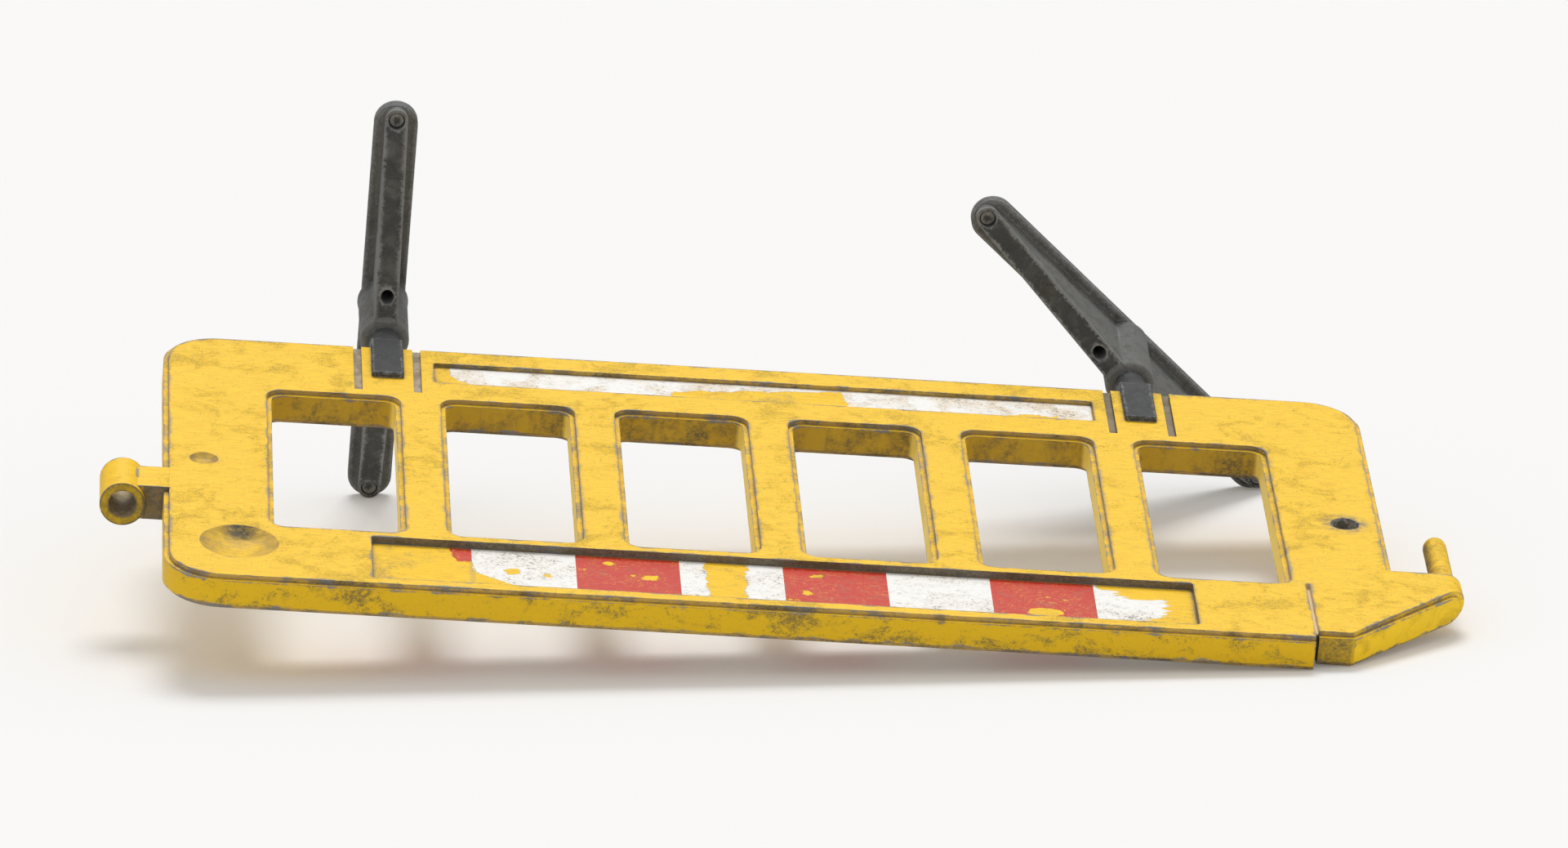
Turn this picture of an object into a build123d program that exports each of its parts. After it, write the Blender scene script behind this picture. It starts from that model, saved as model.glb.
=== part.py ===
# Crowd control barrier: a yellow windowed panel with a hook arm and pin at one
# end, a socket at the other, and two black feet that swivel under it.
# Millimetres, +Z up, standing on its feet on z = 0. The front faces -Y.
import os
from math import cos, sin, radians, pi, sqrt
from build123d import *

# driving dimensions
panel_lift = 254.0          # ground to the panel's datum line
slab_half = 896.5           # half length of the thick middle slab
slab_low, slab_high = 3.5, 896.5
panel_thick = 52.0
step_in = 7.5               # how far each face plate stands back from the slab's edge
step_deep = 7.0             # how far each face plate stands proud of the slab
corner_r = 84.0             # slab's outer corners
wall = 4.0                  # moulding wall

window_pitch = 258.0
window_wide = 199.0
window_low, window_high = 194.0, 704.0
window_r = 26.0

wide_half = 597.0           # wide recess, along the top rail
wide_low, wide_high = 720.5, 868.5
wide_deep = 11.5
narrow_half = 494.0         # narrow recess, between the feet
narrow_low, narrow_high = 57.5, 131.5
narrow_deep = 6.7
sheet_thick = 0.5
block_pitch = 150.6
sheet_gap = 2.0

tab_x = 563.2               # centre of each foot tab
slot_wide = 12.0
slot_inner, slot_outer = 525.0, 601.4
slot_high = 174.0

arm_low = 634.0             # hook arm, at face level
arm_high = 868.0
arm_break_x = 820.0         # where the chamfer starts
arm_end_x = 975.0           # centre of the rounded end, and the pin's axis
arm_end_high = 702.0
slit_near, slit_far = 764.0, 770.0
slit_low = 700.0
slit_through = 868.0         # above this the slit goes right through
arm_slope = (arm_high - arm_end_high) / (arm_end_x - arm_break_x)
pin_r = 17.5
pin_tip = 466.0
pin_top = 676.0
pin_root = 624.5            # full thickness ends just under the arm
pin_tenon_r = 14.0

socket_x = 955.6
socket_r = 33.0
socket_bore_r = 20.7
socket_low, socket_high = 500.6, 596.6
lug_low, lug_high = 511.7, 585.0

dish_small_x, dish_small_z, dish_small_r, dish_small_deep = 838.5, 469.3, 21.0, 7.0
dish_big_x, dish_big_z, dish_big_r, dish_big_deep = 788.4, 768.0, 57.5, 14.0
lamp_hole_x, lamp_hole_r, lamp_hole_deep = -840.5, 21.0, 16.0

pad_wide = 48.0             # clip
pad_thick = 8.0
pad_high = 125.0
pad_corner = 4.0
pad_low = -8.0
neck_r = 25.0
neck_spread = 33.0
neck_straight = 24.0
hub_top = -75.0
spigot_r = 15.0
spigot_low = -125.0

foot_half = 320.0           # foot bar
foot_wide_half = 33.0
flange_thick = 18.0
ridge_half = 17.4
ridge_tip = 300.0           # centre of the ridge's rounded ends
ridge_at_tip = -221.0
ridge_slope = 0.5436
hub_r = 37.0
hub_flare = 1.5
hub_round = 9.0
hub_bore_r = 18.05
bush_depth = 52.0
hole_at, hole_r = 65.4, 10.0
stud_at, stud_r = 300.0, 11.0
stud_seat_deep = 6.0
bolt_r = 6.0
washer_r, washer_thick = 15.0, 2.5
cup_r, cup_high = 24.0, -190.0

socket_foot_turn = 0.0      # rest angles of the feet about the vertical
hook_foot_turn = 48.4

half_thick = panel_thick / 2
slab_y = half_thick - step_deep
socket_edge = socket_x + socket_r
hook_edge = arm_end_x + half_thick
shift_x = -(socket_edge - hook_edge) / 2     # centres the whole length on x = 0

os.makedirs("parts", exist_ok=True)


def place(shape):
    return Pos(shift_x, 0, panel_lift) * shape


def plate(x0, x1, z0, z1, y0, y1, r=0.0):
    # a flat plate standing in the XZ plane, with rounded corners
    solid = Pos((x0 + x1) / 2, (y0 + y1) / 2, (z0 + z1) / 2) * Box(x1 - x0, y1 - y0, z1 - z0)
    if r > 0:
        solid = fillet(solid.edges().filter_by(Axis.Y), r)
    return solid


def outline(points, y0, y1):
    # a polygon in the XZ plane carried from y0 to y1
    face = make_face(Polyline([(x, 0, z) for x, z in points], close=True).edges())
    solid = extrude(face, amount=y1 - y0, dir=(0, 1, 0))
    return Pos(0, y0, 0) * solid


def corner(solid, x, z, r):
    edges = [e for e in solid.edges().filter_by(Axis.Y)
             if abs(e.center().X - x) < 0.6 and abs(e.center().Z - z) < 0.6]
    return fillet(edges, r)


def armTop(x, grow):
    # height of the arm's chamfer at x, grown square to itself
    return arm_end_high + (x + arm_end_x) * arm_slope + grow * sqrt(1 + arm_slope * arm_slope)


def bodyHalf(x_half, z0, z1, y0, y1, grow):
    # main plate less its top left corner, plus the arm; `grow` is how far it
    # stands out from the face line
    main = plate(-x_half, x_half, z0, z1, y0, y1)
    r = corner_r - (slab_half - x_half)
    for x, z in ((x_half, z0), (x_half, z1), (-x_half, z0)):
        main = corner(main, x, z, r)
    main -= plate(-x_half - 5, -slit_far, arm_low + 20, z1 + 5, y0 - 1, y1 + 1)
    ease = (sqrt(1 + arm_slope * arm_slope) - 1) / arm_slope * grow
    arm = outline([(-slit_far, arm_low - grow), (-arm_end_x, arm_low - grow),
                   (-arm_end_x, armTop(-arm_end_x, grow)),
                   (-arm_break_x - ease, arm_high + grow), (-slit_far, arm_high + grow)], y0, y1)
    return main + arm


def windows(grow, y0, y1, r):
    cut = None
    for i in range(6):
        cx = window_pitch * (i - 2.5)
        one = plate(cx - window_wide / 2 - grow, cx + window_wide / 2 + grow,
                    window_low - grow, window_high + grow, y0, y1, r)
        cut = one if cut is None else cut + one
    return cut


def slots(grow, y0, y1, top):
    cut = None
    for side in (-1, 1):
        for a, b in ((slot_inner - slot_wide, slot_inner), (slot_outer, slot_outer + slot_wide)):
            lo, hi = sorted((side * a, side * b))
            one = plate(lo - grow, hi + grow, -40, top, y0, y1)
            cut = one if cut is None else cut + one
    return cut


# front half of the panel, solid: face plate on the slab
face_y = -half_thick
slab = bodyHalf(slab_half, slab_low, slab_high, -slab_y, 0, step_in)
face = bodyHalf(slab_half - step_in, slab_low + step_in, slab_high - step_in, face_y, -slab_y, 0)
half = slab + face
half -= windows(-step_in, -slab_y - 1, 1, window_r - step_in)
half -= windows(0, face_y - 1, -slab_y, window_r)
half -= slots(0, face_y - 1, -slab_y, slot_high)
# the slit between the rail's end and the arm
half -= plate(-slit_far, -slit_near, slit_low, 1000, face_y - 1, -slab_y)
half -= plate(-slit_far, -slit_near, slit_through, 1000, face_y - 1, 1)
# rounded outer end of the arm, about the pin's axis


def armEnd(r, grow):
    x = -arm_end_x
    keep = outline([(x, arm_low - grow), (x - 40, arm_low - grow), (x - 40, armTop(x - 40, grow)),
                    (x, armTop(x, grow))], -40, 0)
    return keep & (Pos(x, 0, arm_low) * Cylinder(r, 400))


end = armEnd(half_thick, 0) + armEnd(slab_y, step_in)
half += end

# recesses for the sheeting, dishes and the lamp hole
front_only = half - plate(-wide_half, wide_half, wide_low, wide_high, face_y - 1, face_y + wide_deep, 5)
front_only -= plate(-narrow_half, narrow_half, narrow_low, narrow_high, face_y - 1, face_y + narrow_deep, 4)


def dish(x, z, r, deep):
    ball = (r * r + deep * deep) / (2 * deep)
    return Pos(x, face_y - (ball - deep), z) * Sphere(ball)


def roomy(back, y0, y1):
    # a plate one wall inside the outline, with the outline's own rounded corners
    p = plate(-slab_half + back + wall, slab_half - back - wall, slab_low + back + wall, slab_high - back - wall, y0, y1)
    h = slab_half - back - wall
    for x, z in ((h, slab_low + back + wall), (h, slab_high - back - wall), (-h, slab_low + back + wall)):
        p = corner(p, x, z, corner_r - back - wall)
    return p


# hollow inside, reached from the mid-plane
def hollow(recessed):
    c = roomy(0, -slab_y + wall, 0) + roomy(step_in, face_y + wall, -slab_y + wall)
    c -= plate(-1000, -slit_near + wall, arm_low - 30, 1000, -40, 1)
    arm = outline([(-slit_far - wall, arm_low + wall), (-arm_end_x + 46, arm_low + wall), (-arm_end_x + 46, 735.0),
                   (-arm_break_x - 2, arm_high - wall - 3), (-slit_far - wall, arm_high - wall - 3)], face_y + wall, 0)
    c -= windows(wall, -40, 1, 0)
    c -= slots(wall, -40, 1, window_low)
    c += arm
    if recessed:
        c -= plate(-wide_half - wall, wide_half + wall, wide_low - wall, wide_high + wall, face_y, face_y + wide_deep + wall)
        c -= plate(-narrow_half - wall, narrow_half + wall, narrow_low - wall, narrow_high + wall, face_y, face_y + narrow_deep + wall)
        for x, z, rr, dd in ((dish_small_x, dish_small_z, dish_small_r, dish_small_deep),
                             (dish_big_x, dish_big_z, dish_big_r, dish_big_deep),
                             (lamp_hole_x, dish_small_z, lamp_hole_r, lamp_hole_deep)):
            c -= Pos(x, face_y + (dd + wall) / 2, z) * Rot(90, 0, 0) * Cylinder(rr + wall, dd + wall + 0.01)
    return c


front = front_only - hollow(True)
front -= dish(dish_small_x, dish_small_z, dish_small_r, dish_small_deep)
front -= dish(dish_big_x, dish_big_z, dish_big_r, dish_big_deep)
front -= Pos(lamp_hole_x, face_y + lamp_hole_deep / 2 - 1, dish_small_z) * Rot(90, 0, 0) * Cylinder(lamp_hole_r, lamp_hole_deep + 2)
pin_seat = Pos(-arm_end_x, 0, (pin_top + 500) / 2) * Cylinder(pin_tenon_r, pin_top - 500)
front -= pin_seat

# the rear half mirrors the front, without its dishes
rear = mirror(front_only, Plane.XZ)
rear_hollow = mirror(hollow(True), Plane.XZ)
rear = rear - rear_hollow - pin_seat

# link socket: tube on a lug
lug = plate(slab_half - step_in, socket_x, lug_low, lug_high, -half_thick, half_thick)
lug -= plate(slab_half - step_in - 1, slab_half, lug_low - 1, lug_high + 1, -slab_y, slab_y)
tube = Pos(socket_x, 0, (socket_low + socket_high) / 2) * Cylinder(socket_r, socket_high - socket_low)
socket = lug + tube
socket -= Pos(socket_x, 0, (socket_low + socket_high) / 2) * Cylinder(socket_bore_r, socket_high - socket_low + 2)

# hook pin: straight with a domed tip, and a thinner tenon set into the arm
pin = Pos(-arm_end_x, 0, (pin_root + pin_tip + pin_r) / 2) * Cylinder(pin_r, pin_root - pin_tip - pin_r)
pin += Pos(-arm_end_x, 0, (pin_top + pin_root) / 2) * Cylinder(pin_tenon_r, pin_top - pin_root)
pin += Pos(-arm_end_x, 0, pin_tip + pin_r) * Sphere(pin_r)

export_step(place(front), "parts/front_moulding.step")
export_step(place(rear), "parts/rear_moulding.step")
export_step(place(socket), "parts/link_socket.step")
export_step(place(pin), "parts/hook_pin.step")


# sheeting: eight blocks in the wide band, red first at the socket end
def sheetBlocks(red, behind):
    out = []
    edges = [wide_half - sheet_gap] + [block_pitch * k for k in (3, 2, 1, 0, -1, -2, -3)] + [-wide_half + sheet_gap]
    for i in range(8):
        if (i % 2 == 0) != red:
            continue
        b = plate(edges[i + 1], edges[i], wide_low + sheet_gap, wide_high - sheet_gap,
                  face_y + wide_deep - sheet_thick, face_y + wide_deep)
        out.append(mirror(b, Plane.XZ) if behind else b)
    return Compound(children=[place(b) for b in out])


for behind, side in ((False, "front"), (True, "rear")):
    export_step(sheetBlocks(True, behind), f"parts/{side}_wide_red.step")
    export_step(sheetBlocks(False, behind), f"parts/{side}_wide_white.step")
    strip = plate(-narrow_half + sheet_gap, narrow_half - sheet_gap, narrow_low + sheet_gap, narrow_high - sheet_gap,
                  face_y + narrow_deep - sheet_thick, face_y + narrow_deep)
    export_step(place(mirror(strip, Plane.XZ) if behind else strip), f"parts/{side}_narrow_white.step")


# clip: two pads over the tab, a bridge under it and a round neck with a spigot
def clip():
    y1 = half_thick + pad_thick
    front_pad = plate(-pad_wide / 2, pad_wide / 2, pad_low, pad_high, -y1, -half_thick)
    for x in (-pad_wide / 2, pad_wide / 2):
        front_pad = corner(front_pad, x, pad_high, pad_corner)
    rim = [e for e in front_pad.edges() if abs(e.center().Y + y1) < 0.01]
    front_pad = chamfer(rim, 2.0)
    bridge = plate(-pad_wide / 2, pad_wide / 2, pad_low, slab_low, -half_thick, half_thick)
    filler = plate(-pad_wide / 2, pad_wide / 2, slab_low, slab_low + step_in, -half_thick, -slab_y)
    # the neck is round at the hub and swells until it is as thick as both pads
    spread_low = hub_top + neck_straight
    neck = Pos(0, 0, hub_top + neck_straight / 2) * Cylinder(neck_r, neck_straight)
    swell = Pos(0, 0, (spread_low + pad_low) / 2) * Cone(neck_r, neck_spread, pad_low - spread_low)
    neck += swell & plate(-pad_wide / 2, pad_wide / 2, spread_low - 1, pad_low, -y1 + 2, y1 - 2)
    spigot = Pos(0, 0, (hub_top + spigot_low) / 2) * Cylinder(spigot_r, hub_top - spigot_low)
    c = front_pad + mirror(front_pad, Plane.XZ) + bridge + filler + mirror(filler, Plane.XZ) + neck + spigot
    c -= Pos(0, 0, spigot_low + 20) * Cylinder(bolt_r, 40)
    return c


# foot bar, along Y before it is turned
def footBar():
    low = -panel_lift
    flange_top = low + flange_thick
    flange = Pos(0, 0, low + flange_thick / 2) * extrude_slot(foot_half, foot_wide_half, flange_thick)
    flange = chamfer([e for e in flange.edges() if abs(e.center().Z - flange_top) < 0.01], 2.0)
    run = ridge_tip - 32.0
    top = ridge_at_tip + ridge_slope * ridge_tip
    tip_z = ridge_at_tip
    # ridge: gable profile in the YZ plane
    reach = ridge_tip + ridge_half
    pts = [(-reach, flange_top - 1), (-reach, tip_z), (-ridge_tip, tip_z), (-32.0, hub_top),
           (32.0, hub_top), (ridge_tip, tip_z), (reach, tip_z), (reach, flange_top - 1)]
    face_yz = make_face(Polyline([(0, y, z) for y, z in pts], close=True).edges())
    ridge = extrude(face_yz, amount=ridge_half, dir=(1, 0, 0), both=True)
    cap = Pos(0, 0, -160) * extrude_slot(reach, ridge_half, 400)
    ridge = ridge & cap
    hub = Pos(0, 0, (hub_top + flange_top) / 2 - 0.5) * Cylinder(hub_r, hub_top - flange_top + 1)
    hub = fillet([e for e in hub.edges() if abs(e.center().Z - hub_top) < 0.01], hub_round)
    hub_cone = Pos(0, 0, flange_top + 10) * Cone(hub_r + hub_flare, hub_r, 20)
    bar = flange + ridge + hub + hub_cone
    for s in (-1, 1):
        bar -= Pos(0, s * hole_at, (low + hub_top) / 2) * Cylinder(hole_r, 400)
        bar -= Pos(0, s * stud_at, tip_z - stud_seat_deep / 2 + 5) * Cylinder(stud_r + 1.5, stud_seat_deep + 10)
    bar -= Pos(0, 0, hub_top - bush_depth / 2 + 1) * Cylinder(hub_bore_r, bush_depth + 2)
    bar -= Pos(0, 0, (hub_top + low) / 2) * Cylinder(bolt_r + 0.5, 300)
    bar -= Pos(0, 0, (low - 5 + cup_high) / 2) * Cylinder(cup_r, cup_high - low + 5)
    return bar


def extrude_slot(half_len, half_wide, height):
    # a flat bar along Y with half-round ends, centred on the origin
    straight = Box(2 * half_wide, 2 * (half_len - half_wide), height)
    a = Pos(0, half_len - half_wide, 0) * Cylinder(half_wide, height)
    b = Pos(0, -(half_len - half_wide), 0) * Cylinder(half_wide, height)
    return straight + a + b


def studs():
    out = []
    for s in (-1, 1):
        h = stud_seat_deep - 2.0
        out.append(Pos(0, s * stud_at, ridge_at_tip - stud_seat_deep + h / 2) * Cylinder(stud_r, h))
    return out


def bush():
    h = bush_depth
    b = Pos(0, 0, hub_top - h / 2) * Cylinder(hub_bore_r, h)
    return b - Pos(0, 0, hub_top - h / 2) * Cylinder(spigot_r + 0.05, h + 2)


def washer():
    w = Pos(0, 0, cup_high - 0.1 - washer_thick / 2) * Cylinder(washer_r, washer_thick)
    return w - Pos(0, 0, cup_high) * Cylinder(bolt_r, 20)


def bolt():
    head_top = cup_high - 0.1 - washer_thick
    head = Pos(0, 0, head_top - 4) * extrude(RegularPolygon(10.4, 6), amount=4, both=True)
    shank_top = spigot_low + 38
    return head + Pos(0, 0, (head_top + shank_top) / 2) * Cylinder(bolt_r, shank_top - head_top)


for name, x, turn in (("socket_end", tab_x, socket_foot_turn), ("hook_end", -tab_x, hook_foot_turn)):
    at = Pos(x, 0, 0)
    spin = Pos(x, 0, 0) * Rot(0, 0, turn)
    export_step(place(at * clip()), f"parts/{name}_clip.step")
    export_step(place(at * washer()), f"parts/{name}_pivot_washer.step")
    export_step(place(at * bolt()), f"parts/{name}_pivot_bolt.step")
    export_step(place(spin * footBar()), f"parts/{name}_foot_bar.step")
    export_step(place(spin * bush()), f"parts/{name}_pivot_bush.step")
    export_step(Compound(children=[place(spin * s) for s in studs()]), f"parts/{name}_tip_studs.step")
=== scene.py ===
import bpy
import math
from mathutils import Matrix, Vector

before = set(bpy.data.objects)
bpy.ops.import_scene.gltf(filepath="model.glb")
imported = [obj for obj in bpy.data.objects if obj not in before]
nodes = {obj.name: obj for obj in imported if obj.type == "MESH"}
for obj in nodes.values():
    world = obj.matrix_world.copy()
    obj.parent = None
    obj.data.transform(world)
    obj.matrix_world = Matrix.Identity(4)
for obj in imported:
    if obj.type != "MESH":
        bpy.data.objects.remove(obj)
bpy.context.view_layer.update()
print("frame loaded:", len(nodes), "nodes")

cameraSet = {
    "place": (1.387939, -7.465411, 18.226635),
    "right": (-0.995659, -0.081687, 0.044607),
    "down": (-0.057954, 0.919148, 0.389625),
    "ahead": (-0.072827, 0.385349, -0.919893),
    "lens": 298.78,
    "sensor": 36.0,
    "clip": (1.0, 200.0),
}


def makeCamera(c):
    data = bpy.data.cameras.new("studioCamera")
    data.sensor_fit = "HORIZONTAL"
    data.sensor_width = c["sensor"]
    data.lens = c["lens"]
    data.clip_start, data.clip_end = c["clip"]
    cam = bpy.data.objects.new("studioCamera", data)
    bpy.context.scene.collection.objects.link(cam)
    right, down, ahead = (Vector(c[k]).normalized() for k in ("right", "down", "ahead"))
    turn = Matrix((right, -down, -ahead)).transposed()   # camera axes as columns
    cam.matrix_world = Matrix.Translation(c["place"]) @ turn.to_4x4()
    bpy.context.scene.camera = cam


makeCamera(cameraSet)
print("camera ready")

stageSet = {
    "up": (0.0707, -0.9824, -0.1729),   # square to the floor the barrier lies on
    "offset": -0.2772,
    "size": 90.0,
    "floorColor": (0.80, 0.80, 0.802),
    "skyTop": 0.80,
    "skyRim": 0.50,
    "skyBelow": 0.0,
    "horizon": (0.49, 0.51),
    "selfLit": 0.16,
    "glow": (0.93, 0.89, 0.83),
    "seen": 0.925,
    "keyPower": 1.80,
    "keySpread": 27.0,
    "keyFrom": (0.035, -0.84, -0.70),
    "rearPower": 1.3,
    "rearSpread": 100.0,
}


def grey(v):
    return (v, v, v, 1)


def wire(tree, *pairs):
    for a, b in pairs:
        tree.links.new(a, b)


def floorPaint(s):
    # color: pale diffuse paint plus a share of glow that only the eye sees; clear from behind
    mat = bpy.data.materials.new("palePaint")
    mat.use_nodes = True
    t = mat.node_tree
    t.nodes.clear()
    out = t.nodes.new("ShaderNodeOutputMaterial")
    sides = t.nodes.new("ShaderNodeMixShader")
    clear = t.nodes.new("ShaderNodeBsdfTransparent")
    paint = t.nodes.new("ShaderNodeBsdfDiffuse")
    paint.inputs["Color"].default_value = (*s["floorColor"], 1)
    side = t.nodes.new("ShaderNodeNewGeometry")
    glow = t.nodes.new("ShaderNodeEmission")
    glow.inputs["Color"].default_value = (*s["glow"], 1)
    front = t.nodes.new("ShaderNodeMixShader")
    eye = t.nodes.new("ShaderNodeLightPath")
    share = t.nodes.new("ShaderNodeMapRange")
    share.inputs["To Max"].default_value = s["selfLit"]
    wire(t,
         (side.outputs["Backfacing"], sides.inputs[0]),
         (eye.outputs["Is Camera Ray"], share.inputs["Value"]),
         (share.outputs[0], front.inputs[0]),
         (paint.outputs[0], front.inputs[1]),
         (glow.outputs[0], front.inputs[2]),
         (front.outputs[0], sides.inputs[1]),
         (clear.outputs[0], sides.inputs[2]),
         (sides.outputs[0], out.inputs[0]))
    return mat


def makeFloor(s):
    up = Vector(s["up"]).normalized()
    a = up.cross(Vector((0, 0, 1))).normalized()
    b = up.cross(a)
    centre = up * s["offset"]
    h = s["size"] / 2
    corners = [centre + a * i * h + b * j * h for i, j in ((-1, -1), (1, -1), (1, 1), (-1, 1))]
    mesh = bpy.data.meshes.new("paleFloor")
    mesh.from_pydata([tuple(c) for c in corners], [], [(0, 1, 2, 3)])
    mesh.update()
    if mesh.polygons[0].normal.dot(up) < 0:
        mesh.flip_normals()
    mesh.materials.append(floorPaint(s))
    floor = bpy.data.objects.new("paleFloor", mesh)
    bpy.context.scene.collection.objects.link(floor)
    floor.visible_shadow = False


def makeSky(s):
    # light: rises with how far a direction points away from the floor; the eye sees one flat tone
    world = bpy.data.worlds.new("softRoom")
    bpy.context.scene.world = world
    world.use_nodes = True
    t = world.node_tree
    t.nodes.clear()
    out = t.nodes.new("ShaderNodeOutputWorld")
    lit = t.nodes.new("ShaderNodeBackground")
    seen = t.nodes.new("ShaderNodeBackground")
    seen.inputs[0].default_value = grey(s["seen"])
    pick = t.nodes.new("ShaderNodeMixShader")
    path = t.nodes.new("ShaderNodeLightPath")
    coord = t.nodes.new("ShaderNodeTexCoord")
    dot = t.nodes.new("ShaderNodeVectorMath")
    dot.operation = "DOT_PRODUCT"
    dot.inputs[1].default_value = Vector(s["up"]).normalized()
    half = t.nodes.new("ShaderNodeMapRange")
    half.inputs["From Min"].default_value = -1
    ramp = t.nodes.new("ShaderNodeValToRGB")
    below, above = ramp.color_ramp.elements
    below.position, above.position = s["horizon"]
    below.color, above.color = grey(s["skyBelow"]), grey(s["skyRim"])
    ramp.color_ramp.elements.new(1.0).color = grey(s["skyTop"])
    wire(t,
         (coord.outputs["Generated"], dot.inputs[0]),
         (dot.outputs["Value"], half.inputs["Value"]),
         (half.outputs[0], ramp.inputs[0]),
         (ramp.outputs[0], lit.inputs[0]),
         (path.outputs["Is Camera Ray"], pick.inputs[0]),
         (lit.outputs[0], pick.inputs[1]),
         (seen.outputs[0], pick.inputs[2]),
         (pick.outputs[0], out.inputs[0]))


def makeSun(name, source, power, spread, bounces=12):
    data = bpy.data.lights.new(name, "SUN")
    data.energy = power
    data.angle = math.radians(spread)
    data.cycles.max_bounces = bounces
    lamp = bpy.data.objects.new(name, data)
    bpy.context.scene.collection.objects.link(lamp)
    lamp.rotation_mode = "QUATERNION"
    lamp.rotation_quaternion = Vector(source).normalized().to_track_quat("Z", "Y")


makeFloor(stageSet)
makeSky(stageSet)
makeSun("keySun", stageSet["keyFrom"], stageSet["keyPower"], stageSet["keySpread"])
# the rear sun shines from under the floor and never reaches it by a bounce
makeSun("rearSun", [-v for v in stageSet["up"]], stageSet["rearPower"], stageSet["rearSpread"], 0)
bpy.context.scene.view_settings.view_transform = "Standard"
print("stage ready")

# the panel's own datum in metres: its middle, and the line its heights count from
panel = {"midX": 0.0062, "lift": 0.254}


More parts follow.
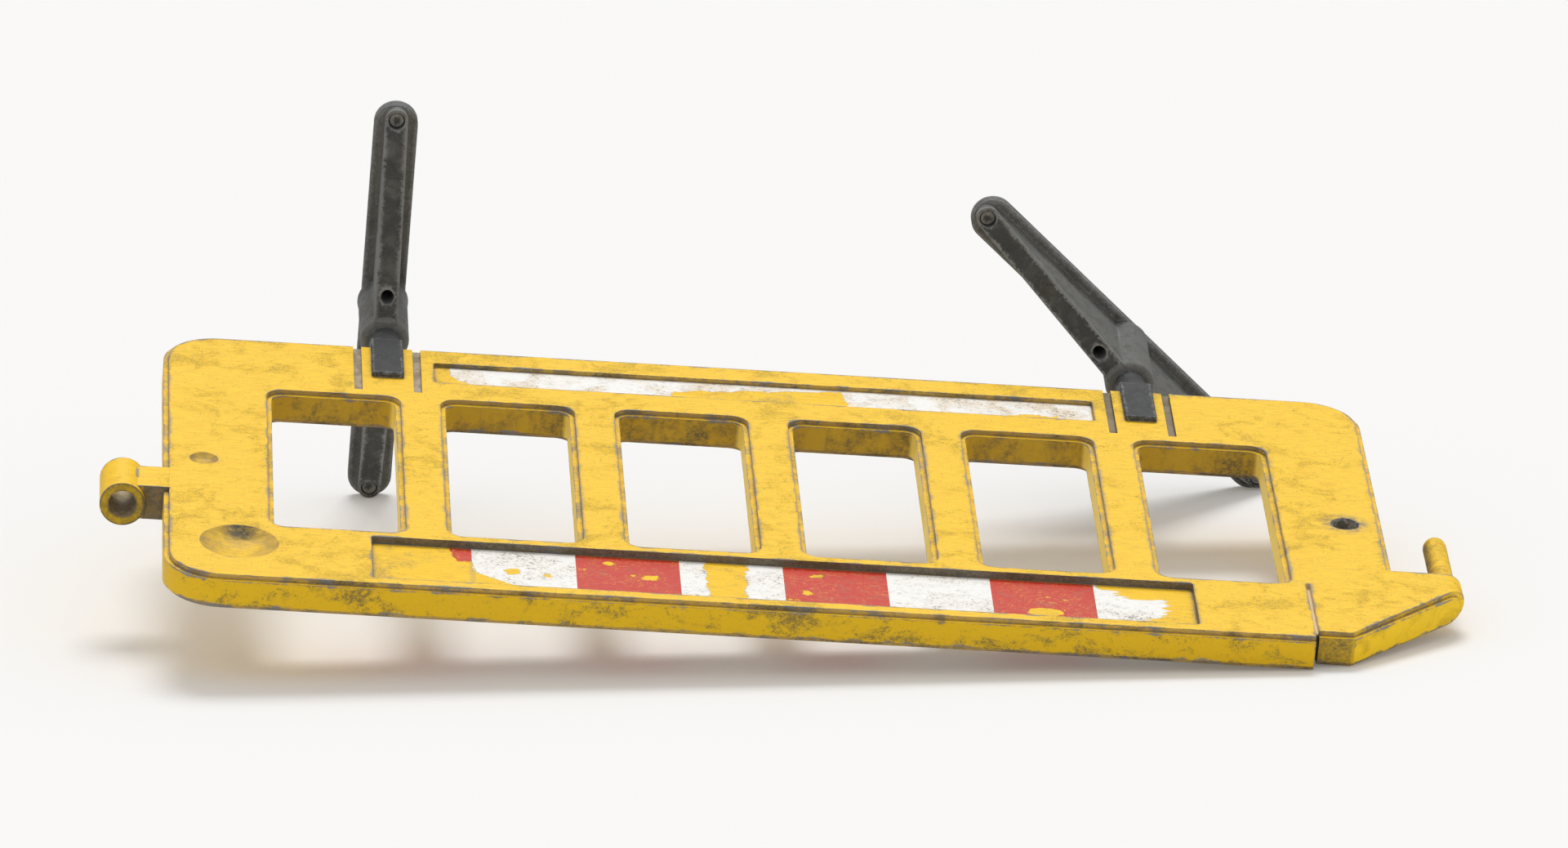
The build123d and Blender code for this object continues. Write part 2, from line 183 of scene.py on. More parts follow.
class Surface:
    # one material; every helper returns an output socket, so masks can be written like sums
    def __init__(self, name):
        self.mat = bpy.data.materials.new(name)
        self.mat.use_nodes = True
        self.tree = self.mat.node_tree
        self.tree.nodes.clear()
        self.out = self.tree.nodes.new("ShaderNodeOutputMaterial")
        coord = self.tree.nodes.new("ShaderNodeTexCoord")
        # P is millimetres from the panel's datum: along, through, up
        datum = (panel["midX"], 0, panel["lift"])
        self.P = self.vec("MULTIPLY", self.vec("SUBTRACT", coord.outputs["Object"], datum), (1000, 1000, 1000))
        self.x, self.y, self.w = self.split(self.P)
        self.nx, self.ny, self.nz = self.split(coord.outputs["Normal"])
        self.absX = self.size(self.x)
        self.absY = self.size(self.y)

    def put(self, sock, v):
        if isinstance(v, bpy.types.NodeSocket):
            self.tree.links.new(v, sock)
        elif hasattr(v, "__len__") and sock.type == "RGBA":
            sock.default_value = (*v[:3], 1)
        else:
            sock.default_value = v

    def node(self, kind, ins, out=0, **props):
        n = self.tree.nodes.new("ShaderNode" + kind)
        for k, v in props.items():
            setattr(n, k, v)
        for k, v in ins.items():
            self.put(n.inputs[k], v)
        return n.outputs[out]

    def split(self, v):
        n = self.tree.nodes.new("ShaderNodeSeparateXYZ")
        self.put(n.inputs[0], v)
        return n.outputs

    def vec(self, op, *args):
        out = "Value" if op in ("DOT_PRODUCT", "LENGTH") else "Vector"
        return self.node("VectorMath", dict(enumerate(args)), out, operation=op)

    def m(self, op, *args):
        return self.node("Math", dict(enumerate(args)), operation=op)

    def chain(self, op, first, *rest):
        for v in rest:
            first = self.m(op, first, v)
        return first

    def times(self, *v):
        return self.chain("MULTIPLY", *v)

    def plus(self, *v):
        return self.chain("ADD", *v)

    def most(self, *v):
        return self.chain("MAXIMUM", *v)

    def least(self, *v):
        return self.chain("MINIMUM", *v)

    def less(self, a, b):
        return self.m("SUBTRACT", a, b)

    def size(self, v):
        return self.m("ABSOLUTE", v)

    def mean(self, a, b):
        return self.times(self.plus(a, b), 0.5)

    def swing(self, cloud, reach):
        # a cloud about zero, reach from end to end
        return self.times(self.less(cloud, 0.5), reach)

    def ease(self, v, lo, hi, a=0.0, b=1.0):
        # a at lo, b at hi, smooth between and flat beyond; lo may be the larger
        return self.node("MapRange", {"Value": v, "From Min": lo, "From Max": hi, "To Min": a, "To Max": b},
                         interpolation_type="SMOOTHSTEP")

    def hairline(self, cloud, outer, inner):
        # a thin line where a cloud passes its middle value
        return self.ease(self.size(self.less(cloud, 0.5)), outer, inner)

    def mix(self, fac, a, b):
        n = self.tree.nodes.new("ShaderNodeMix")
        n.data_type = "RGBA"
        self.put(n.inputs["Factor"], fac)
        self.put(n.inputs[6], a)
        self.put(n.inputs[7], b)
        return n.outputs[2]

    def paint(self, color, tint, mask, share):
        return self.mix(self.times(mask, share), color, tint)

    def reach(self, centre, keep):
        # millimetres from a line through centre, along the axis that keep leaves out
        return self.vec("LENGTH", self.vec("MULTIPLY", self.vec("SUBTRACT", self.P, centre), keep))

    def noise(self, spec, seed=0.0):
        # spec is size (along, through, up) in millimetres, own seed, detail, roughness, warp
        size, own, detail, rough, warp = spec
        shift = seed + own
        at = self.vec("ADD", self.vec("DIVIDE", self.P, size), (shift, shift * 1.7, shift * 0.6))
        return self.node("TexNoise", {"Vector": at, "Scale": 1.0, "Detail": detail, "Roughness": rough,
                                      "Distortion": warp})

    def edges(self, radius):
        # 0 on flat ground, rising to 1 at a square edge: the root of how far the bevelled normal turns
        soft = self.node("Bevel", {"Radius": radius / 1000}, samples=8)
        true = self.tree.nodes.new("ShaderNodeNewGeometry").outputs["Normal"]
        turned = self.less(1.0, self.vec("DOT_PRODUCT", soft, true))
        return self.times(self.m("POWER", self.most(turned, 0.0), 0.5), 1.85)

    def openness(self, reach):
        # 1 in the open, falling towards 0 in a corner
        return self.node("AmbientOcclusion", {"Distance": reach / 1000}, "AO", samples=6)

    def finish(self, color, rough, height, depth=0.0006, rounding=1.2, specular=0.22, metal=0.0, seam=False):
        soft = self.node("Bevel", {"Radius": rounding / 1000}, samples=4)
        if seam:   # the two mouldings meet at mid depth without a rounded joint
            flat = self.tree.nodes.new("ShaderNodeNewGeometry").outputs["Normal"]
            n = self.tree.nodes.new("ShaderNodeMix")
            n.data_type = "VECTOR"
            self.put(n.inputs["Factor"], self.ease(self.absY, 1.5, 2.5))
            self.put(n.inputs[4], flat)
            self.put(n.inputs[5], soft)
            soft = n.outputs[1]
        bump = self.node("Bump", {"Height": height, "Distance": depth, "Strength": 1.0, "Normal": soft})
        b = self.node("BsdfPrincipled", {"Base Color": color, "Roughness": rough, "Normal": bump,
                                         "Specular IOR Level": specular, "Metallic": metal})
        self.tree.links.new(b, self.out.inputs[0])
        return self.mat


def halfPlane(s, nx, nw, d):
    # millimetres inside the side of a line where nx x + nw w > d
    return s.less(s.plus(s.times(s.x, nx), s.times(s.w, nw)), d)


def cut(s, lines):
    # millimetres inside the corner that several half planes share
    return s.least(*(halfPlane(s, *line) for line in lines))


def spot(s, x, w, rx, rw):
    # millimetres inside an oval; the huge middle radius leaves depth out
    far = s.vec("LENGTH", s.vec("DIVIDE", s.vec("SUBTRACT", s.P, (x, 0, w)), (rx, 1e6, rw)))
    return s.times(s.less(1.0, far), min(rx, rw))


# colors and clouds of the yellow plastic; places are millimetres from the panel's datum
yellowSet = {
    "face": (0.91, 0.575, 0.014),
    "faceDeep": (0.80, 0.46, 0.010),
    # painted shade: the walls' darker yellow
    "wall": (0.78, 0.475, 0.006),
    # painted highlight: the arm's side
    "litArmWall": (1.0, 0.65, 0.007),
    # painted highlight: window sides that face along
    "litSideWall": (1.0, 0.74, 0.15),
    # painted shade on window sides that face up
    "deep": (0.50, 0.31, 0.030),
    "olive": (0.44, 0.30, 0.050),
    "scuff": (0.25, 0.18, 0.065),
    # soot colour, also used as painted shade in corners and on window sides
    "sootAndShade": (0.13, 0.105, 0.05),
    "chip": (0.19, 0.20, 0.22),
    "chipWarm": (0.22, 0.17, 0.10),
    "step": (0.40, 0.30, 0.145),
    "recess": (0.22, 0.195, 0.155),
    "recessDark": (0.11, 0.10, 0.085),
    "rough": 0.5,
    "grain": ((30, 12, 1.9), 3.1, 5, 0.65, 0.0),
    "broad": ((170, 90, 130), 27.7, 4, 0.6, 0.7),
    "patch": ((46, 34, 42), 7.7, 6, 0.62, 0.9),
    "fine": ((6, 5, 5.5), 1.3, 8, 0.74, 0.6),
    "tiny": ((2.6, 2.4, 3.2), 9.4, 4, 0.7, 0.2),
    "dots": ((3.2, 3.0, 5.0), 33.0, 2, 0.5, 0.0),
    "hair": ((60, 30, 26), 51.0, 3, 0.5, 1.4),
    "mottle": ((26, 60, 40), 81.0, 5, 0.62, 0.5),
    "lumps": ((34, 26, 34), 71.0, 3, 0.55, 0.3),
    "cornerReach": 9,
    "chipReach": 8.0,
    "windowEnd": (762, 756),
    "windowFoot": (182, 188),
    "windowHead": (716, 710),
    "armStart": (-812, -822),
    "shortSide": ((-816, -824), (-760, -766), (858, 862)),
    "wideRecess": (599, 718, 871, 14),
    "slabFace": (18.6, 19.2),
    "plateFace": (25.4, 25.8),
    "lugRoot": (876, 902),
    "lugHeight": (509.5, 583.5),
    "tab": 563.2,
    "tabHalf": 54,
    "tabTop": 178,
    "seamFade": (4.0, 8.0),
}


def panelDirtAndPaintedLight(s, c, seed, color, k):
    # color: window sides painted darker and browner where they face up, as painted shade, with soot there that
    # is partly painted shade;
    # painted highlight where they face along; the arm's side given a painted highlight but sooty next to the
    # slit; tan on the step, grey on the recess's sides
    wall, upWall, dirty, fine = k["wall"], k["upWall"], k["dirty"], k["fine"]
    # window sides that face up painted darker and browner: painted shade
    inner = s.times(wall, s.ease(s.absX, *c["windowEnd"]), s.ease(s.w, *c["windowFoot"]),
                    s.ease(s.w, *c["windowHead"]))
    color = s.mix(s.times(inner, s.plus(s.times(upWall, 0.68), 0.04)), color, c["deep"])
    # mottled soot on window sides that face up: partly dirt, partly painted shade
    mottle = s.ease(s.mean(dirty, s.noise(c["mottle"], seed)), 0.45, 0.60, 0.10, 1.0)
    sooty = s.times(inner, upWall, mottle, s.ease(fine, 0.36, 0.60, 0.15, 0.85))
    color = s.mix(sooty, color, c["sootAndShade"])
    # painted highlight: window sides that face along painted a brighter yellow
    color = s.paint(color, c["litSideWall"], s.times(inner, s.ease(s.nx, 0.5, 0.9)), 0.85)

    # painted highlight: the arm's side painted a brighter yellow than the face
    armSide = s.times(wall, s.ease(s.nx, -0.25, -0.55), s.ease(s.x, *c["armStart"]))
    color = s.paint(color, s.mix(k["smoke"], c["litArmWall"], c["wall"]), armSide, 0.8)
    away, near, low = c["shortSide"]
    shortSide = s.times(upWall, s.ease(s.x, *away, 1.0, 0.0), s.ease(s.x, *near), s.ease(s.w, *low))
    color = s.mix(s.times(shortSide, s.ease(fine, 0.32, 0.62, 0.15, 0.65)), color, c["sootAndShade"])

    speckle = s.plus(fine, k["tiny"])
    end, foot, head, depth = c["wideRecess"]
    inRecess = s.least(s.less(end, s.absX), s.less(s.w, foot), s.less(head, s.w), s.less(s.absY, depth))
    recess = s.ease(inRecess, -0.5, 0.5)
    step = s.times(wall, s.most(s.ease(s.absY, *c["slabFace"]), recess), s.less(1.0, s.times(armSide, 0.6)))
    cover = s.most(s.times(s.ease(speckle, 0.75, 1.15, 0.45, 1.0), 0.78), s.times(recess, 0.96))
    greys = s.mix(s.ease(speckle, 0.85, 1.15), c["recess"], c["recessDark"])
    color = s.mix(s.times(step, cover), color, s.mix(recess, c["step"], greys))
    sooty = s.times(step, s.ease(dirty, 0.47, 0.60), s.ease(fine, 0.34, 0.58, 0.3, 0.9))
    return s.mix(sooty, color, c["sootAndShade"]), step


def yellowSkin(s, c, seed=0.0, panelled=True):
    # color: yellow, painted darker on walls as painted shade; olive where two broad clouds add up; scuffs where
    # two fine clouds pass a level that the olive lowers; dots; hairlines; the panel's own dirt with its painted
    # highlights and painted shade; soot and painted shade in corners; grey chips where edge plus clouds passes
    # a level
    grain, broad, patch, fine, tiny = (s.noise(c[n], seed) for n in ("grain", "broad", "patch", "fine", "tiny"))
    wall = s.ease(s.size(s.ny), 0.75, 0.35)
    color = s.mix(s.ease(grain, 0.42, 0.62), c["face"], c["faceDeep"])
    # walls painted a darker yellow than the face: painted shade
    color = s.mix(wall, color, c["wall"])

    dirty = s.mean(broad, patch)
    smoke = s.times(s.ease(dirty, 0.485, 0.63), s.ease(fine, 0.28, 0.62, 0.25, 1.0))
    share = s.plus(s.times(wall, 0.15), 0.40)
    color = s.paint(color, s.mix(wall, c["olive"], c["sootAndShade"]), smoke, share)

    level = s.plus(s.mean(fine, tiny), s.times(s.ease(dirty, 0.43, 0.62), 0.125), s.times(wall, 0.022))
    share = s.plus(s.times(wall, 0.2), 0.40)
    color = s.paint(color, s.mix(wall, c["scuff"], c["sootAndShade"]), s.ease(level, 0.605, 0.665), share)
    color = s.paint(color, c["scuff"], s.ease(s.noise(c["dots"], seed), 0.655, 0.70), 0.42)
    scratch = s.times(s.hairline(s.noise(c["hair"], seed), 0.0035, 0.001), s.ease(patch, 0.50, 0.58))
    color = s.paint(color, c["sootAndShade"], scratch, 0.35)

    # no corner soot or painted shade, and no chips, where the lug runs on from the panel's face
    root, start = c["lugRoot"]
    if panelled:
        masks = {"wall": wall, "upWall": s.ease(s.nz, 0.35, 0.8), "dirty": dirty, "smoke": smoke,
                 "fine": fine, "tiny": tiny}
        color, step = panelDirtAndPaintedLight(s, c, seed, color, masks)
        hold = s.less(0.55, s.times(step, 0.40))
        along, square = s.less(s.x, root), s.less(-0.5, s.ny)
    else:
        hold = 0.55
        along, square = s.less(start, s.x), s.less(s.size(s.ny), 0.5)
    foot, head = c["lugHeight"]
    flush = s.ease(s.least(along, s.less(s.w, foot), s.less(head, s.w), square), 0.0, 0.3, 1.0, 0.0)
    # soot darkening corners by openness: partly dirt, partly painted shade
    corner = s.times(s.ease(s.openness(c["cornerReach"]), 0.85, 0.35), s.ease(fine, 0.25, 0.6, 0.3, 1.0), flush)
    color = s.paint(color, c["sootAndShade"], corner, hold)

    rim = s.times(s.ease(s.absY, *c["plateFace"]), s.less(1.0, wall))
    edge = s.times(s.edges(c["chipReach"]), flush, s.plus(s.times(rim, 0.45), 1.0))
    if panelled:   # neither the seam nor the slots beside the tabs chip
        slots = s.least(s.less(c["tabHalf"], s.size(s.less(s.absX, c["tab"]))), s.less(c["tabTop"], s.w))
        edge = s.times(edge, s.ease(s.absY, *c["seamFade"]), s.ease(slots, -2, 1, 1.0, 0.0))
    blob = s.plus(s.swing(fine, 1.8), s.swing(tiny, 0.9), s.swing(s.noise(c["lumps"], seed), 4.2))
    chip = s.times(s.ease(s.plus(edge, blob), 0.80, 0.90), s.ease(edge, 0.06, 0.14))
    color = s.paint(color, s.mix(s.ease(patch, 0.40, 0.50), c["chipWarm"], c["chip"]), chip, 0.85)

    rough = s.ease(s.plus(fine, smoke), 0.3, 1.2, c["rough"], c["rough"] + 0.2)
    height = s.plus(s.times(grain, 0.3), s.less(s.times(fine, 0.35), s.times(chip, 0.5)))
    return color, rough, height


# the grooves beside each clip and the slit by the arm, in millimetres from the panel's datum
grooveSet = {
    "tab": 563.2,
    "inner": 38.0,
    "outer": 50.4,
    "top": 174.2,
    "slit": (-770.2, -763.8, 699.0),
    "sunk": (25.9, 25.6),
    "slitEnd": (858, 868),
    "pale": (0.42, 0.35, 0.26),
    "dark": (0.24, 0.20, 0.15),
    "hookEnd": (0.10, 0.085, 0.055),
    # painted light: the slit's tan lifted pale against its own shade
    "slitLit": (0.78, 0.62, 0.38),
    # painted shade: the slit's through cut
    "slitShade": (0.10, 0.08, 0.045),
    "mottle": ((14, 14, 20), 44, 5, 0.6, 0.0),
}


def grooveDirtAndPaintedLight(s, c, color, seed):
    # color: mottled tan to grey, darker towards the hook end; the slit a tan lifted pale as painted light
    # against the groove's own shade, and dark at its open end as painted shade
    off = s.size(s.less(s.absX, c["tab"]))
    groove = s.least(s.less(off, c["inner"]), s.less(c["outer"], off), s.less(c["top"], s.w))
    left, right, foot = c["slit"]
    slit = s.least(s.less(s.x, left), s.less(right, s.x), s.less(s.w, foot))
    inside = s.times(s.ease(s.most(groove, slit), -0.2, 0.1), s.ease(s.absY, *c["sunk"]))
    tone = s.mix(s.ease(s.noise(c["mottle"], seed), 0.38, 0.62), c["pale"], c["dark"])
    tone = s.mix(s.ease(s.x, 20, -20, 0.0, 0.62), tone, c["hookEnd"])
    # the slit painted pale as painted light, and dark at its through cut as painted shade
    slitTone = s.mix(s.ease(s.w, *c["slitEnd"]), c["slitLit"], c["slitShade"])
    tone = s.mix(s.ease(slit, -0.2, 0.1), tone, slitTone)
    return s.paint(color, tone, inside, 0.92)


# each dish: along, up, radius, strength of the lip's painted shadow, least brown; the lamp recess: along, up,
# radius
dishSet = {
    "dishes": ((788.4, 768.0, 57.5, 0.95, 0.05), (838.5, 469.3, 21.0, 0.35, 0.35)),
    "lamp": (-840.5, 469.3, 21.0),
    "front": (-1, -2),
    "brown": (0.32, 0.21, 0.070),
    # painted shadow under the dishes' upper lips
    "stain": (0.032, 0.036, 0.036),
    "lampPale": (0.52, 0.50, 0.45),
    "lampDark": (0.13, 0.125, 0.11),
    "ragged": ((18, 18, 14), 50, 5, 0.6, 0.0),
    "wash": ((26, 26, 24), 60, 6, 0.65, 0.0),
    "streak": ((9, 9, 9), 70, 6, 0.7, 0.0),
    "grit": ((16, 12, 12), 90, 7, 0.7, 0.8),
}


def dishDirtAndShade(s, c, color, x, w, r, lip, base):
    # color: brown inside, more to the sides, partly dirt and partly painted shade; a dark painted shadow under
    # the upper lip, broken up by a cloud
    far = s.reach((x, 0, w), (1, 0, 1))
    front = s.ease(s.y, *c["front"])
    inside = s.times(s.ease(far, r + 0.5, r - 0.8), front)
    aside = s.size(s.less(s.x, x))
    # brown inside the dish: partly dirt, partly painted shade
    wash = s.plus(s.ease(s.noise(c["wash"], r), 0.36, 0.64, base, base + 0.40),
                  s.ease(aside, r * 0.35, r * 0.9, 0.0, 0.40))
    color = s.paint(color, c["brown"], inside, wash)
    # dark under the upper lip: painted shadow
    drop = s.plus(s.less(w, s.w), s.swing(s.noise(c["ragged"], r), 40))
    high = s.times(s.ease(drop, r * 0.30, r * 0.78), s.ease(aside, r * 0.72, r * 0.12, 0.10, 1.0))
    stain = s.times(high, s.ease(far, r + 6, r), s.ease(s.noise(c["streak"], r), 0.34, 0.58, lip * 0.6, lip))
    return s.paint(color, c["stain"], stain, front)


def lampDirt(s, c, color):
    # color: a smoky ring round the mouth; pale to dark grit inside
    x, w, r = c["lamp"]
    far = s.reach((x, 0, w), (1, 0, 1))
    grit = s.noise(c["grit"])
    front = s.ease(s.y, *c["front"])
    ring = s.times(s.ease(far, r + 24, r + 1), s.ease(grit, 0.40, 0.62, 0.1, 0.85),
                   s.ease(far, r - 0.5, r + 0.5))
    color = s.paint(color, c["lampDark"], ring, front)
    tone = s.mix(s.ease(grit, 0.38, 0.60), c["lampPale"], c["lampDark"])
    return s.paint(color, tone, s.ease(far, r + 0.6, r - 0.2), front)


def panelPlastic(name, seed, front):
    # color: the yellow, then the grooves' dirt and painted light and shade; on the front also the dishes' dirt
    # and painted shade, and the lamp recess's
    s = Surface(name)
    color, rough, height = yellowSkin(s, yellowSet, seed)
    color = grooveDirtAndPaintedLight(s, grooveSet, color, seed)
    if front:
        for dish in dishSet["dishes"]:
            color = dishDirtAndShade(s, dishSet, color, *dish)
        color = lampDirt(s, dishSet, color)
    return s.finish(color, rough, height, seam=True)


# the socket's and the pin's axes and radii in millimetres from the panel's datum
fittingSet = {
    "socketX": 955.6,
    "pinX": -975.0,
    "lug": ((930, 924), (880, 886)),
    "ring": ((33.6, 33.2), (20, 20.6)),
    "rims": ((24.5, 21.5), (29.5, 32.5)),
    "bore": (21.2, 20.9),
    "pin": (19, 18),
    "pinFoot": (492, 470),
    "lugColor": (0.15, 0.13, 0.095),
    "ringColor": (0.135, 0.11, 0.03),
    "borePale": (0.46, 0.37, 0.23),
    "boreDark": (0.22, 0.18, 0.11),
    # painted shade on the pin
    "pinShade": (0.12, 0.10, 0.055),
    "mottle": ((9, 9, 9), 61, 7, 0.7, 0.5),
}


def fittingPlastic(name, seed):
    # color: the yellow; darker and mottled on the lug's upper side and the ring's ends, most at the rims; grey
    # in the bore, partly grime and partly painted shade; painted shade on the pin, darkest on its upper
    # shoulder and low down on the side away from the panel
    s = Surface(name)
    c = fittingSet
    color, rough, height = yellowSkin(s, yellowSet, seed, False)
    mottle = s.ease(s.noise(c["mottle"], seed), 0.34, 0.62)
    up = s.ease(s.size(s.nz), 0.6, 0.9)
    outer, inner = c["lug"]
    lugSide = s.times(up, s.ease(s.x, *outer), s.ease(s.x, *inner))
    color = s.paint(color, c["lugColor"], lugSide, s.plus(s.times(mottle, 0.20), 0.80))

    far = s.reach((c["socketX"], 0, 0), (1, 1, 0))
    outer, inner = c["ring"]
    ringEnd = s.times(up, s.ease(far, *outer), s.ease(far, *inner))
    rims = s.plus(*(s.ease(far, *r) for r in c["rims"]))
    color = s.paint(color, c["ringColor"], ringEnd, s.plus(s.times(mottle, 0.40), s.times(rims, 0.28), 0.26))
    # grey inside the bore: partly grime, partly painted shade
    color = s.paint(color, s.mix(mottle, c["borePale"], c["boreDark"]), s.ease(far, *c["bore"]), 0.92)

    # painted shade on the pin, mottled
    onPin = s.ease(s.reach((c["pinX"], 0, 0), (1, 1, 0)), *c["pin"])
    shade = s.times(s.most(s.ease(s.nx, 0.35, 0.95), s.ease(s.w, *c["pinFoot"])), onPin)
    color = s.paint(color, c["pinShade"], shade, s.plus(s.times(mottle, 0.62), 0.26))
    return s.finish(color, rough, height)


sheetSet = {
    "red": (0.555, 0.026, 0.012),
    "redPale": (0.585, 0.10, 0.052),
    "redDirt": (0.30, 0.12, 0.08),
    "white": (0.87, 0.855, 0.815),
    "stain": (0.78, 0.66, 0.50),
    "scratch": (0.16, 0.15, 0.13),
    # painted shade in the film's corners
    "corner": (0.22, 0.19, 0.15),
    "cornerReach": 12,
    "grime": 0.26,
    "grimeNarrow": 0.85,
    "rag": ((10, 10, 7), 2.0, 6, 0.7, 0.6),
    "ragBig": ((34, 34, 26), 6.0, 3, 0.5, 0.0),
    "flecks": ((16, 8, 6), 11.0, 5, 0.6, 0.8),
    "fine": ((9, 8, 5), 5.0, 8, 0.7, 0.9),
    "specks": ((3.5, 3, 4), 15.0, 4, 0.7, 0.3),
    "wide": ((60, 40, 50), 8.0, 4, 0.6, 0.6),
    "hairFlat": ((22, 20, 10), 21.0, 3, 0.55, 1.8),
    "hairTall": ((12, 20, 24), 25.0, 3, 0.55, 1.8),
    "blotch": ((26, 20, 18), 31.0, 6, 0.65, 0.8),
    "smear": ((46, 30, 34), 13.0, 5, 0.65, 0.8),
}

# where the film has worn off, in millimetres from the panel's datum: a cut is the corner that its lines
# (nx, nw, d) share, a chip an oval (along, up, half length, half height)
wornSet = {
    "wideCuts": (
        ((1, 0.33, 724.59), (1, 0, 455)),
        ((1, 0, 455), (0, 1, 769)),
        ((0.552, 0.834, 919), (-1, 0, -470)),
        ((1, 0, 448), (0, 1, 768)),
        ((-1, -0.06, -158.44), (1, -0.05, 15.65), (-1, 0, -140)),
    ),
    "wideChips": (
        (394, 794, 9, 8), (342, 803, 5, 5), (255, 746, 7, 6), (219, 786, 5, 7),
        (196, 790, 13, 8), (-46, 750, 9, 6), (-31, 812, 8, 12), (-15, 838, 14, 6),
    ),
    "wideTorn": (
        ((-0.592, -0.806, -316.5), (0, -1, -764)),
        ((-1, 0, 553),),
        ((-0.526, 0.85, 986), (-1, 0, 470)),
    ),
    "widePatch": (-377, 831, 28, 14),
    "tear": ((90, 20, 11), 71.0, 3, 0.6, 0.3),
    "narrowCuts": (
        ((1, 0.12, 475.44),),
        ((0.5, 0.87, 321.59), (1, 0, 430)),
        ((-0.134, 1, 80), (-1, 0, -141), (1, 0.2, -101.2)),
        ((0, 1, 111), (-1, 0, 362), (1, 0, -437)),
    ),
}


def wornWide(s, bite):
    # cuts and chips with a ragged bite; at the worn end long tears along the length, with less of it
    c = wornSet
    clean = s.most(*(cut(s, v) for v in c["wideCuts"]), *(spot(s, *v) for v in c["wideChips"]))
    torn = s.plus(s.most(*(cut(s, v) for v in c["wideTorn"])), s.swing(s.noise(c["tear"]), 60))
    loose = s.most(torn, spot(s, *c["widePatch"]))
    return s.most(s.plus(clean, bite), s.plus(loose, s.times(bite, 0.35)))


def wornNarrow(s, bite):
    return s.plus(s.most(*(cut(s, v) for v in wornSet["narrowCuts"])), bite)


def redFilm(s, c, seed, k):
    # color: red to pale red by a fine cloud; brown blotches; yellow where hairlines or two clouds cut through
    film = s.mix(s.ease(k["fine"], 0.48, 0.82), c["red"], c["redPale"])
    film = s.paint(film, c["redDirt"], s.ease(s.noise(c["blotch"], seed), 0.52, 0.66), 0.38)
    film = s.paint(film, yellowSet["face"], k["line"], s.ease(k["wide"], 0.40, 0.56, 0.1, 0.8))
    level = s.plus(k["fine"], s.times(k["wide"], 0.35))
    return s.mix(s.ease(level, 0.845, 0.875), film, yellowSet["face"])


def whiteFilm(s, c, seed, k, grime):
    # color: white to stain by a wide cloud; grey smears, hairlines, and specks where clouds pass a level
    film = s.paint(c["white"], c["stain"], s.ease(k["wide"], 0.42, 0.66), grime)
    smear = s.times(s.ease(k["fine"], 0.46, 0.68), s.ease(s.noise(c["smear"], seed), 0.40, 0.62))
    film = s.paint(film, c["scratch"], smear, 0.36)
    film = s.paint(film, c["scratch"], k["line"], s.ease(k["wide"], 0.38, 0.54, 0.2, 0.95))
    level = s.plus(s.mean(k["fine"], s.noise(c["specks"], seed)), s.times(k["wide"], 0.3))
    return s.paint(film, c["scratch"], s.ease(level, 0.715, 0.765), 0.75)


def sheeting(name, red, worn, seed, grime=sheetSet["grime"]):
    # color: film, darker in corners as painted shade; the yellow plastic again where flecks or worn places take
    # it off
    s = Surface(name)
    c = sheetSet
    under = yellowSkin(s, yellowSet, seed)[0]
    fine, wide = s.noise(c["fine"], seed), s.noise(c["wide"], seed)
    gone = s.ease(s.noise(c["flecks"], seed), 0.735, 0.745)
    if worn:
        bite = s.plus(s.swing(s.noise(c["rag"], seed), 22), s.swing(s.noise(c["ragBig"], seed), 18))
        gone = s.most(gone, s.ease(worn(s, bite), -0.4, 0.4))
    flat = s.hairline(s.noise(c["hairFlat"], seed), 0.008, 0.002)
    tall = s.hairline(s.noise(c["hairTall"], seed), 0.007, 0.002)
    masks = {"fine": fine, "wide": wide, "line": s.times(s.most(flat, tall), s.ease(fine, 0.42, 0.56))}
    film = redFilm(s, c, seed, masks) if red else whiteFilm(s, c, seed, masks, grime)
    # painted shade: film darkened in corners by openness
    film = s.paint(film, c["corner"], s.ease(s.openness(c["cornerReach"]), 0.86, 0.4), 0.45)
    color = s.mix(gone, film, under)
    rough = s.ease(s.plus(gone, s.times(fine, 0.6)), 0.2, 1.2, 0.36, 0.6)
    height = s.less(s.times(fine, 0.2), gone)
    return s.finish(color, rough, height, depth=0.0004, rounding=0.3)


rubberSet = {
    "top": (0.053, 0.055, 0.055),
    "flank": (0.120, 0.122, 0.115),
    "dust": (0.145, 0.14, 0.125),
    "flange": (0.165, 0.163, 0.152),
    "worn": (0.25, 0.255, 0.25),
    "soil": (0.045, 0.042, 0.034),
    # painted light: the hub's shoulder paler against the shade by the neck
    "shoulderLit": (0.24, 0.242, 0.235),
    "rough": 0.62,
    "pivotX": 563.2,
    "hub": (40.5, 38.5),
    "hubFoot": (-180, -150),
    "shoulderEdge": (42, 36),
    "shoulderFoot": (-90, -80),
    "flangeTop": (-232, -239),
    "edgeReach": 12.0,
    "cornerReach": 12,
    "fine": ((6, 6, 6), 1, 7, 0.65, 0.5),
    "patch": ((40, 40, 26), 4, 5, 0.6, 0.6),
    "broad": ((120, 120, 60), 9, 3, 0.5, 0.0),
    "smear": ((16, 16, 22), 19, 6, 0.68, 0.8),
    "speck": ((2.4, 2.4, 2.4), 15, 3, 0.6, 0.0),
}


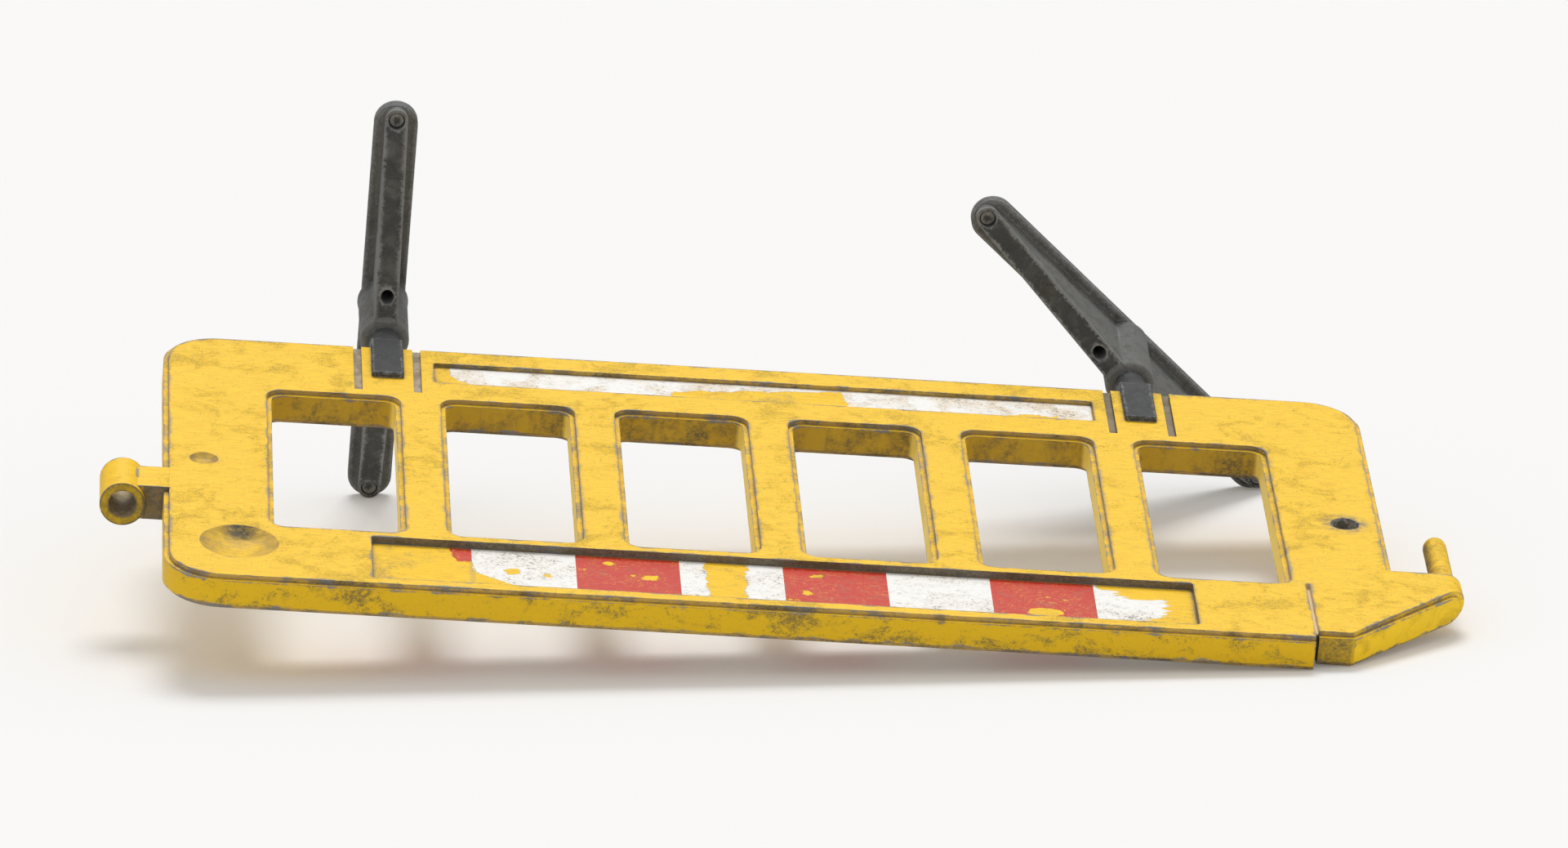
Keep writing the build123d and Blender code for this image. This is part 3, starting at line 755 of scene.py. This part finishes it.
def footRubber(name, seed, side):
    # color: dark crest, lighter flanks and flange; dust and soil by clouds; pale specks; a pale ragged line
    # where edge plus clouds passes a level; soil-coloured painted shade in corners; the hub's shoulder a little
    # paler as painted light against the shade by the neck
    s = Surface(name)
    c = rubberSet
    fine, patch, broad, smear, speck = (
        s.noise(c[n], seed) for n in ("fine", "patch", "broad", "smear", "speck"))
    axis = s.reach((side * c["pivotX"], 0, 0), (1, 1, 0))
    hub = s.times(s.ease(axis, *c["hub"]), s.ease(s.w, *c["hubFoot"]))
    crest = s.times(s.ease(s.nz, 0.55, 0.95), s.less(1.0, hub))
    low = s.ease(s.w, *c["flangeTop"])
    flange = s.times(low, s.ease(s.nz, 0.5, 0.9))
    color = s.mix(s.times(crest, s.less(1.0, low)), c["flank"], c["top"])
    color = s.paint(color, c["dust"], s.ease(patch, 0.45, 0.66), 0.55)
    color = s.paint(color, c["flange"], flange, s.ease(patch, 0.66, 0.46, 0.5, 0.95))
    color = s.paint(color, c["soil"], s.ease(smear, 0.50, 0.62), s.less(0.42, s.times(flange, 0.2)))
    color = s.paint(color, c["soil"], s.ease(broad, 0.5, 0.66), s.times(s.ease(fine, 0.35, 0.6), 0.55))
    dots = s.ease(s.mean(fine, speck), 0.545, 0.61)
    color = s.paint(color, c["worn"], dots, s.less(0.50, s.times(crest, 0.38)))

    edge = s.edges(c["edgeReach"])
    corner = s.openness(c["cornerReach"])
    ragged = s.plus(edge, s.swing(fine, 2.4), s.swing(speck, 1.3), s.swing(patch, 1.4))
    worn = s.times(s.ease(ragged, 0.30, 0.46), s.ease(edge, 0.04, 0.12), s.ease(corner, 0.5, 0.75))
    color = s.paint(color, c["worn"], worn, s.less(0.85, s.times(hub, 0.65)))
    # soil-coloured painted shade in corners, by openness
    color = s.paint(color, c["soil"], s.ease(corner, 0.65, 0.2), s.less(0.45, s.times(hub, 0.4)))
    # painted light: the hub's shoulder painted paler against the shade by the neck
    shoulderLit = s.times(hub, s.ease(axis, *c["shoulderEdge"]), s.ease(s.w, *c["shoulderFoot"]))
    color = s.paint(color, c["shoulderLit"], shoulderLit, 0.32)
    rough = s.ease(s.plus(fine, patch), 0.7, 1.3, c["rough"] - 0.1, c["rough"] + 0.15)
    height = s.plus(s.times(fine, 0.7), s.times(patch, 0.3))
    return s.finish(color, rough, height, depth=0.0010, rounding=2.2, specular=0.16)


clipSet = {
    "base": (0.052, 0.053, 0.053),
    "worn": (0.25, 0.255, 0.26),
    "soil": (0.03, 0.03, 0.03),
    "rough": 0.5,
    "edgeReach": 10.0,
    "fine": ((9, 9, 12), 1, 7, 0.72, 0.6),
    "patch": ((30, 30, 30), 4, 4, 0.6, 0.6),
    "speck": ((3.6, 3.6, 5), 15, 3, 0.6, 0.0),
}


def clipPlastic(name, seed):
    # color: black, soiled by a patchy cloud; pale specks and a pale ragged line on edges
    s = Surface(name)
    c = clipSet
    fine, patch, speck = (s.noise(c[n], seed) for n in ("fine", "patch", "speck"))
    edge = s.edges(c["edgeReach"])
    ragged = s.plus(edge, s.swing(fine, 3.0), s.swing(speck, 1.8))
    worn = s.times(s.ease(ragged, 0.45, 0.68), s.ease(edge, 0.05, 0.16))
    color = s.paint(c["base"], c["soil"], s.ease(patch, 0.42, 0.66), 0.5)
    level = s.plus(s.times(fine, 0.6), s.times(speck, 0.4))
    color = s.paint(color, c["worn"], s.ease(level, 0.56, 0.66), 0.30)
    color = s.paint(color, c["worn"], worn, 0.8)
    rough = s.ease(fine, 0.3, 0.7, c["rough"] - 0.06, c["rough"] + 0.14)
    return s.finish(color, rough, fine, depth=0.0007, rounding=2.0, specular=0.12)


steelSet = {
    "pale": (0.42, 0.43, 0.44),
    "dark": (0.28, 0.28, 0.28),
    "rust": (0.16, 0.085, 0.04),
    "fine": ((4, 4, 2), 1, 6, 0.6, 0.0),
    "patch": ((14, 14, 14), 3, 4, 0.6, 0.5),
}


def zincSteel(name, seed):
    # color: pale to dark grey by a fine cloud; rust where a patchy cloud is high
    s = Surface(name)
    c = steelSet
    fine, patch = s.noise(c["fine"], seed), s.noise(c["patch"], seed)
    color = s.mix(s.ease(fine, 0.35, 0.65), c["pale"], c["dark"])
    color = s.paint(color, c["rust"], s.ease(patch, 0.52, 0.66), 0.7)
    rough = s.ease(patch, 0.4, 0.7, 0.35, 0.75)
    return s.finish(color, rough, fine, depth=0.0003, rounding=0.6, metal=0.7)


def wear(names, mat):
    for n in names:
        mesh = nodes[n].data
        mesh.materials.clear()
        mesh.materials.append(mat)


# seeds keep one piece's clouds apart from another's
seedSet = {
    "front": 0.0,
    "rearPanel": 0.001,
    "rearFilm": 40.0,
    "socket": 5.0,
    "pin": 8.0,
    "foot": {"socket_end": 3.0, "hook_end": 14.0},
    "stud": {"socket_end": 30.0, "hook_end": 34.0},
    "clip": {"socket_end": 2.0, "hook_end": 9.0},
    "steel": {"socket_end": 1.0, "hook_end": 6.0},
}

front, rear, narrow = seedSet["front"], seedSet["rearFilm"], sheetSet["grimeNarrow"]
wear(["front_moulding"], panelPlastic("yellowFront", front, True))
wear(["rear_moulding"], panelPlastic("yellowRear", seedSet["rearPanel"], False))
wear(["link_socket"], fittingPlastic("yellowSocket", seedSet["socket"]))
wear(["hook_pin"], fittingPlastic("yellowPin", seedSet["pin"]))
print("yellow plastic ready")

wear(["front_wide_red"], sheeting("filmRed", True, wornWide, front))
wear(["front_wide_white"], sheeting("filmWhite", False, wornWide, front))
wear(["rear_wide_red"], sheeting("filmRedRear", True, None, rear))
wear(["rear_wide_white"], sheeting("filmWhiteRear", False, None, rear))
wear(["front_narrow_white"], sheeting("filmNarrow", False, wornNarrow, front, narrow))
wear(["rear_narrow_white"], sheeting("filmNarrowRear", False, None, rear, narrow))
print("sheeting ready")

for end, side in (("socket_end", 1), ("hook_end", -1)):
    wear([end + "_foot_bar"], footRubber(end + "Rubber", seedSet["foot"][end], side))
    wear([end + "_tip_studs"], footRubber(end + "Stud", seedSet["stud"][end], side))
    wear([end + "_clip", end + "_pivot_bush"], clipPlastic(end + "Clip", seedSet["clip"][end]))
    wear([end + "_pivot_washer", end + "_pivot_bolt"], zincSteel(end + "Steel", seedSet["steel"][end]))
print("feet ready, materials:", len(bpy.data.materials))
